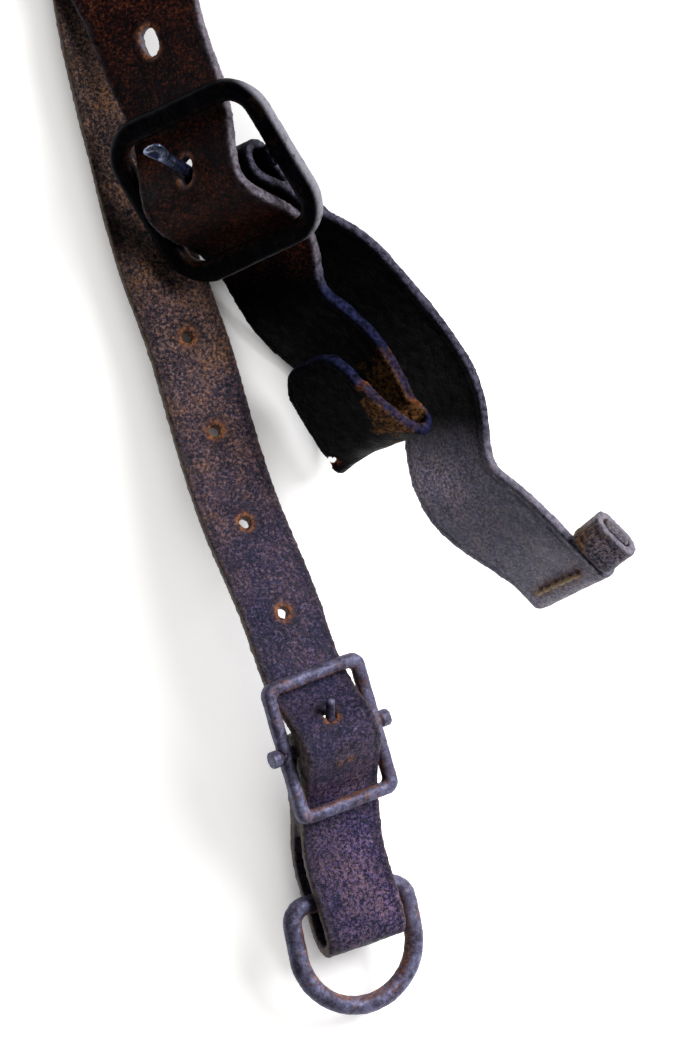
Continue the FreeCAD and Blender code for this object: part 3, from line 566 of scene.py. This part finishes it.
# waves in the leather's surface: (how wide, how high), in mm
SWELL = (14.0, 0.20)
RIPPLE = (3.2, 0.10)
FRAY = (1.6, 0.16)
GRAIN = (0.9, 0.035)
FRAY_REACH = 0.8                        # how far fraying goes in from an arris, mm

BORDER_INSET = 2.1                      # the creased line along each edge, mm
BORDER_WIDTH = 0.35
BORDER_DEPTH = 0.12
STITCH_REACH = 1.25                     # the groove that thread pulls, mm
STITCH_DEPTH = 0.22
HOLE_REACH = 0.8                        # how far a hole's swollen rim reaches, mm
HOLE_SWELL = 0.22
HOLE_THROAT = 0.9                       # how far down from its rim a hole is narrowest, mm
NARROWED = 0.9                          # how far the narrow strap's old holes have closed, mm

LEATHER_ARRIS = 0.55                    # how far a rubbed arris with its painted highlight and a darkened margin reach, mm
LEATHER_MARGIN = 3.0

# painted highlights and painted shade: x and y from a fitting's centre, half-widths in x and y (mm), and
# amount
PAINTED_LIGHT_SPOTS = {
    "narrow_strap": ("small_buckle_bar", ((9, -30, 14, 26, 0.40), (19, -43, 5, 7, 0.45))),
    "curled_strap": ("end_keeper", ((-42, 16, 10, 7, 0.50), (-20, 5, 8, 6, -0.30))),
}


def painted_light_places(node, points):
    """Half everywhere, more in a strap's painted highlights and less in its painted shade."""
    painted_gain = np.full(len(points), 0.5)
    if node in PAINTED_LIGHT_SPOTS:
        fitting, places = PAINTED_LIGHT_SPOTS[node]
        low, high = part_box(fitting)
        centre = (np.array(low) + np.array(high))[:2] / 2
        flat = (points[:, :2] - centre) / MM
        for x, y, wide, tall, amount in places:
            painted_gain += amount * np.exp(-((flat[:, 0] - x) / wide) ** 2 - ((flat[:, 1] - y) / tall) ** 2)
    return painted_gain


def waves(points, wave, seed, octaves=3):
    """The height in mm of one kind of surface wave at each point."""
    width, height = wave
    return height * field(points, width, seed, octaves)


def leather_piece(node, voxel_mm, seed, raw_zone=None, closed_mm=0.0):
    """A strap rebuilt with rounded arrises, an uneven surface, frayed edges and punched-hole marks.

    raw_zone says where the grain is torn off, and the holes' walls have swollen shut by closed_mm."""
    reference = Reference(frame["nodes"][node])
    piece = remeshed(node, node + "_leather", voxel_mm)
    mesh = piece.data
    edges = edge_array(mesh)
    points = smooth(mesh_arrays(mesh), edges, SOFTENING)
    away, side = reference.look(points)
    away_mm = away / MM
    write_points(mesh, points)
    normals = point_normals(mesh)
    hole = closeness(reference.walls, points, HOLE_REACH)
    thread = []
    for stitches in STITCHED.get(node, ()):
        thread.extend(v.co for v in frame["nodes"][stitches].data.vertices)
    groove = closeness(near_tree(thread), points, STITCH_REACH)
    border = np.exp(-((away_mm - BORDER_INSET) / BORDER_WIDTH) ** 2) * (1 - side) * (1 - hole)

    height = (waves(points, SWELL, seed) + waves(points, RIPPLE, seed + 5)) * (1.0 - 0.6 * side)
    height += waves(points, FRAY, seed + 9) * np.exp(-away_mm / FRAY_REACH)
    height += waves(points, GRAIN, seed + 13, 2)
    height -= BORDER_DEPTH * border + STITCH_DEPTH * groove * (1 - side)
    height += (HOLE_SWELL + closed_mm * np.clip(away_mm / HOLE_THROAT, 0, 1)) * hole * side
    points = push_out(mesh, points, height)

    mark(mesh, "side", spread(side, edges, 2))
    mark(mesh, "arris", np.exp(-away_mm / LEATHER_ARRIS))
    mark(mesh, "margin", np.exp(-(away_mm / LEATHER_MARGIN) ** 2))
    mark(mesh, "crease", 0.6 * border + 0.4 * groove)
    mark(mesh, "sewn", groove)
    # painted highlights and painted shade in listed places
    mark(mesh, "painted_gain", painted_light_places(node, points))
    mark(mesh, "raw", raw_zone(points, normals) if raw_zone else np.zeros(len(points)))
    mark(mesh, "hole", hole)
    finish_piece(piece, node)


FOLD_INSET = (9.5 * MM, 21.5 * MM)      # the torn patch's centre, from the strap's right and front
FOLD_RADIUS = 9.5 * MM
FOLD_FADE = 1.5 * MM


def fold_patch(points, normals):
    """The torn grain inside the wide strap's fold, cracked through to the fibre."""
    low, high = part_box("wide_strap")
    centre = np.array((high.x - FOLD_INSET[0], low.y + FOLD_INSET[1]))
    away = np.linalg.norm((points[:, :2] - centre) * (1.0, 0.75), axis=1)
    ragged = 1.0 + 0.35 * field(points, 4.0, 31)
    inside = np.clip((FOLD_RADIUS * ragged - away) / FOLD_FADE, 0, 1)
    return inside * np.clip(normals[:, 2] * 3, 0, 1)


BARE_WIDTH = 4.5 * MM                   # how far bare fibre reaches across the keeper


def keeper_patch(points, normals):
    """Bare fibre on the keeper's side next to the strap."""
    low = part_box("end_keeper")[0]
    near = 1 - np.clip((points[:, 0] - low.x) / BARE_WIDTH, 0, 1)
    return np.clip(near * 1.6 + 0.5 * field(points, 2.0, 33), 0, 1) * (near > 0.05)


TUCK_PROUD = 1.05                       # the tuck's length and breadth, as shares of the keeper's mouth
TUCK_SLACK = 0.90
TUCK_WAVE = (2.5, 0.12)


def keeper_tuck():
    """The folded leather that fills the keeper's mouth and stands a little proud as an oblong panel."""
    source = frame["nodes"]["end_keeper"].data
    middle = mesh_arrays(source).mean(0)
    inner = []
    for polygon in source.polygons:
        inward = Vector(middle) - polygon.center
        if polygon.normal.dot(inward) > 0.4 * inward.length:
            inner.append(polygon)
    axis = np.linalg.svd(np.array([tuple(p.normal) for p in inner]))[2][2]
    cloud = np.array([tuple(source.vertices[i].co) for p in inner for i in p.vertices])
    along = ((cloud - middle) @ axis)[:, None] * axis
    cloud = middle + along * TUCK_PROUD + (cloud - middle - along) * TUCK_SLACK
    bm = bmesh.new()
    for place in cloud:
        bm.verts.new(place)
    bmesh.ops.remove_doubles(bm, verts=bm.verts, dist=0.05 * MM)
    hull = bmesh.ops.convex_hull(bm, input=bm.verts)
    loose = [v for v in hull["geom_interior"] + hull["geom_unused"] if isinstance(v, bmesh.types.BMVert)]
    bmesh.ops.delete(bm, geom=list(set(loose)), context="VERTS")
    mesh = bpy.data.meshes.new("keeper_tuck_leather")
    bm.to_mesh(mesh)
    bm.free()
    piece = new_piece("keeper_tuck_leather", mesh)
    skin_over(piece, 0.35)
    points = smooth(mesh_arrays(piece.data), edge_array(piece.data), 5)
    push_out(piece.data, points, waves(points, TUCK_WAVE, 41))
    dress(piece, "end_keeper")


# ---------------------------------------------------------------- iron and copper pieces

DENT_WIDTH = 7.0                        # widths of the forging's dents and pits, mm
PIT_WIDTH = 1.3
IRON_ARRIS = 0.5                        # how far a rubbed arris reaches, mm


def iron_piece(node, voxel_mm, seed, dent_mm, pit_mm, shape=None):
    """A forging rebuilt with soft arrises, shallow dents and pits.

    shape moves the points beforehand, and says where the metal is darkened: painted shade in a hollow, a
    darker shank."""
    reference = Reference(frame["nodes"][node])
    piece = remeshed(node, node + "_iron", voxel_mm)
    mesh = piece.data
    points = smooth(mesh_arrays(mesh), edge_array(mesh), SOFTENING)
    away, _ = reference.look(points)
    tip_darkening = np.zeros(len(points))
    if shape:
        points, tip_darkening = shape(points)
    write_points(mesh, points)
    normals = point_normals(mesh)
    height = waves(points, (DENT_WIDTH, dent_mm), seed) + waves(points, (PIT_WIDTH, pit_mm), seed + 3)
    points = push_out(mesh, points, height)
    outward = points - (points.min(0) + points.max(0)) / 2
    outward /= np.linalg.norm(outward, axis=1)[:, None]
    facing = (outward * normals).sum(1)
    mark(mesh, "inside", np.clip(-facing * 1.6 - 0.2, 0, 1))
    # painted light: flanks facing outward and towards the lamp on the right are marked for the lit grey
    # tone
    mark(mesh, "outer", np.clip(facing * 2.2 - 1.0, 0, 1) * np.clip(normals[:, 0] * 2.5, 0, 1))
    mark(mesh, "arris", np.exp(-away / (IRON_ARRIS * MM)))
    mark(mesh, "tip_darkening", tip_darkening)
    finish_piece(piece, node)


# the big tongue's hammered end, measured back from its tip
TIP_START = 7.0 * MM                    # where it begins to widen, and how soon it is full width
TIP_BLEND = 4.0 * MM
TIP_SPREAD = 0.85                       # shares by which it widens and flattens
TIP_FLATTEN = 0.35
HOLLOW_BACK = 2.7 * MM                  # the hollow's centre, half-length, half-width and depth; its dark is painted shade
HOLLOW_HALF = (1.9 * MM, 1.0 * MM)
HOLLOW_DEPTH = 0.35 * MM
HOLLOW_TOP = 0.4 * MM                   # only what stands this far above the tip's middle is hollowed
SHANK_START = 5.2 * MM                  # where the bright tip gives way to the darker shank
SHANK_BLEND = 0.8 * MM


def hammered_tip(points):
    """Spreads the last of the big tongue's shaft into a flat-topped, D-shaped end with a hollow painted
    dark as shade, and darkens the shank.
    """
    joints = frame["record"]["behaviour"]["joints"]
    hinge = next(joint for joint in joints if joint["name"] == "big_tongue_lift")
    eye = np.array(hinge["pos_m"])
    wide = np.array(hinge["axis"])
    wide /= np.linalg.norm(wide)
    tip = points[np.argmax(np.linalg.norm(points - eye, axis=1))]
    shaft = (tip - eye) - wide * np.dot(tip - eye, wide)
    reach = np.linalg.norm(shaft)
    shaft /= reach
    thick = np.cross(wide, shaft)
    middle = eye + wide * np.dot(tip - eye, wide)
    along = (points - eye) @ shaft
    across = (points - middle) @ wide
    depth = (points - middle) @ thick

    part = np.clip((along - (reach - TIP_START)) / TIP_BLEND, 0, 1)
    flat = -thick[None, :] * (depth * part * TIP_FLATTEN)[:, None]
    moved = points + wide[None, :] * (across * part * TIP_SPREAD)[:, None] + flat

    rim = np.hypot((along - (reach - HOLLOW_BACK)) / HOLLOW_HALF[0], across / HOLLOW_HALF[1])
    up = 1 if thick[2] > 0 else -1
    hollow = (1 - np.clip((rim - 0.6) / 0.35, 0, 1)) * np.clip(up * depth / HOLLOW_TOP, 0, 1)
    moved[:, 2] -= HOLLOW_DEPTH * hollow
    # the hollow is painted dark as shade, and the shank darkened
    shank = np.clip(((reach - SHANK_START) - along) / SHANK_BLEND, 0, 1)
    return moved, np.maximum(hollow, 0.85 * shank)


leather_piece("narrow_strap", 0.6, 1, closed_mm=NARROWED)
leather_piece("wide_strap", 0.6, 2, fold_patch)
leather_piece("curled_strap", 0.6, 3)
leather_piece("end_keeper", 0.4, 4, keeper_patch)
iron_piece("big_buckle_frame", 0.45, 5, 0.16, 0.05)
iron_piece("small_buckle_frame", 0.4, 6, 0.12, 0.08)
iron_piece("d_ring", 0.42, 7, 0.14, 0.09)
iron_piece("big_buckle_tongue", 0.3, 8, 0.05, 0.04, hammered_tip)
keeper_tuck()
for node in ("big_buckle_bar", "small_buckle_bar", "small_buckle_tongue", "join_rivets", "join_burrs"):
    iron_piece(node, 0.3, 9, 0.05, 0.04)


# ---------------------------------------------------------------- thread

STITCH_PITCH = 3.3 * MM                 # a run of thread longer than this is several stitches
STITCH_SHARE = 0.90                     # the part of its pitch that a stitch fills
STRAND_RADIUS = 0.50 * MM
TWIST_RADIUS = 0.26 * MM
TWIST_LENGTH = 1.9 * MM
RUN_STEPS = 28
STRAND_SIDES = 8


def separate_runs(source):
    """The points of each separate solid in a node."""
    bm = welded(source)
    bm.verts.ensure_lookup_table()
    seen = set()
    runs = []
    for start in bm.verts:
        if start.index in seen:
            continue
        stack = [start]
        seen.add(start.index)
        run = []
        while stack:
            vert = stack.pop()
            run.append(tuple(vert.co))
            for edge in vert.link_edges:
                other = edge.other_vert(vert)
                if other.index not in seen:
                    seen.add(other.index)
                    stack.append(other)
        runs.append(np.array(run))
    bm.free()
    return runs


def stitch_pieces(node):
    """Each stitch as two twisted strands that dip into the leather at both ends."""
    thread = bmesh.new()
    for cloud in separate_runs(frame["nodes"][node]):
        centre = cloud.mean(0)
        axis = np.linalg.svd(cloud - centre)[2][0]
        half = np.abs((cloud - centre) @ axis).max()
        count = max(1, round(2 * half / STITCH_PITCH))
        for i in range(count):
            middle = centre + axis * half * ((2 * i + 1) / count - 1)
            add_twisted_run(thread, Vector(middle), Vector(axis), STITCH_SHARE * half / count)
    mesh = bpy.data.meshes.new(node + "_thread")
    thread.to_mesh(mesh)
    thread.free()
    finish_piece(new_piece(node + "_thread", mesh), node)


def add_twisted_run(bm, centre, axis, half):
    """Two round strands wound round one another along axis, thinned where they enter the leather."""
    first = axis.orthogonal().normalized()
    second = axis.cross(first)

    def spoke(angle):
        return first * math.cos(angle) + second * math.sin(angle)

    for phase in (0.0, math.pi):
        rings = []
        for i in range(RUN_STEPS + 1):
            along = -1 + 2 * i / RUN_STEPS
            turn = phase + 2 * math.pi * (along * half) / TWIST_LENGTH
            taper = math.sqrt(max(0.05, 1 - abs(along) ** 3))
            middle = centre + axis * (along * half) + spoke(turn) * TWIST_RADIUS * taper
            radius = STRAND_RADIUS * taper
            rings.append([bm.verts.new(middle + spoke(2 * math.pi * k / STRAND_SIDES) * radius)
                          for k in range(STRAND_SIDES)])
        for before, after in zip(rings, rings[1:]):
            for k in range(STRAND_SIDES):
                j = (k + 1) % STRAND_SIDES
                bm.faces.new((before[k], before[j], after[j], after[k]))
        bm.faces.new(list(reversed(rings[0])))
        bm.faces.new(rings[-1])


for node in ("end_stitches", "chape_stitches", "loop_stitches"):
    stitch_pieces(node)


# ---------------------------------------------------------------- stage

FLOOR_HALF = 1.5
FLOOR_CELLS = 300
FLOOR_GAP = 0.1 * MM
SHADOW_REACH = 45 * MM                  # how far from the straps the paper darkens

# the floor's dip, into which the curled strap swings down
DIP_DEPTH = 62 * MM
DIP_FLAT = 35 * MM                      # the flat bottom's radius, and where the dip ends
DIP_REACH = 110 * MM
DIP_STEEP = 1.35                        # shortens it towards the other straps
DIP_LONG = 0.5                          # and lengthens it towards the front

VIEW_HEIGHT = 268.2 * MM                # what the camera sees, top to bottom, and the view's centre
VIEW_CENTRE = Vector((-1.5 * MM, 107.7 * MM, 0))
VIEW_DISTANCE = 3.0
SENSOR = 36.0

KEY_PLACE = Vector((1.2, 0.85, 1.05))
KEY_AIM = Vector((0, 0.12, 0))
KEY_SIZE = 1.1
KEY_POWER = 46.0
KEY_COLOUR = (0.96, 0.97, 1.0)
SKY_COLOUR = (0.90, 0.94, 1.0, 1.0)
SKY_STRENGTH = 0.05


def paper_material():
    """White paper, lit from within so that it stays pale, with painted shadow close under the straps."""
    sh = Shader("white_paper")
    sh.set(Base_Color=(0.80, 0.79, 0.78, 1.0), Roughness=0.95, Specular_IOR_Level=0.0)
    open_sky = sh.tree.nodes.new("ShaderNodeAmbientOcclusion")
    open_sky.inputs["Distance"].default_value = SHADOW_REACH
    # the paper's glow fades near the straps: painted shadow
    glow = sh.step(open_sky.outputs["AO"], 0.15, 0.9, 0.0, 0.80)
    sh.set(Emission_Color=(1.0, 0.985, 0.965, 1.0), Emission_Strength=glow)
    return sh.material


def floor():
    """A wide pale sheet just under the lowest point, with the dip below the curled strap's end."""
    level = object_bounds()[0].z - FLOOR_GAP
    low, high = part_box("end_keeper")
    bm = bmesh.new()
    bmesh.ops.create_grid(bm, x_segments=FLOOR_CELLS, y_segments=FLOOR_CELLS, size=FLOOR_HALF)
    for vert in bm.verts:
        across, along = vert.co.xy - ((low + high) / 2).xy
        away = math.hypot(across * (DIP_STEEP if across < 0 else 1), along * (DIP_LONG if along < 0 else 1))
        rise = min(max((away - DIP_FLAT) / (DIP_REACH - DIP_FLAT), 0.0), 1.0)
        vert.co.z = level - DIP_DEPTH * (1 - rise * rise * (3 - 2 * rise))
    for face in bm.faces:
        face.smooth = True
    mesh = bpy.data.meshes.new("floor")
    bm.to_mesh(mesh)
    bm.free()
    sheet = new_piece("floor", mesh)
    mesh.materials.append(paper_material())
    sheet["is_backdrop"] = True


def key_light():
    """A big soft light from beyond the straps' right-hand side."""
    lamp = bpy.data.lights.new("key", "AREA")
    lamp.shape = "SQUARE"
    lamp.size = KEY_SIZE
    lamp.energy = KEY_POWER
    lamp.color = KEY_COLOUR
    holder = bpy.data.objects.new("key", lamp)
    holder.location = KEY_PLACE
    holder.rotation_euler = (KEY_AIM - KEY_PLACE).to_track_quat("-Z", "Y").to_euler()
    bpy.context.scene.collection.objects.link(holder)


def sky():
    """Faint light from all round."""
    world = bpy.data.worlds.new("studio")
    world.use_nodes = True
    background = world.node_tree.nodes["Background"]
    background.inputs["Color"].default_value = SKY_COLOUR
    background.inputs["Strength"].default_value = SKY_STRENGTH
    bpy.context.scene.world = world


def camera():
    """Looks straight down; the straps' riveted ends lie beyond the frame's top edge."""
    data = bpy.data.cameras.new("camera")
    data.sensor_fit = "VERTICAL"
    data.sensor_height = SENSOR
    data.lens = SENSOR * VIEW_DISTANCE / VIEW_HEIGHT
    holder = bpy.data.objects.new("camera", data)
    holder.location = VIEW_CENTRE + Vector((0, 0, VIEW_DISTANCE))
    bpy.context.scene.collection.objects.link(holder)
    bpy.context.scene.camera = holder


floor()
camera()
key_light()
sky()
bpy.context.scene.view_settings.view_transform = "Standard"
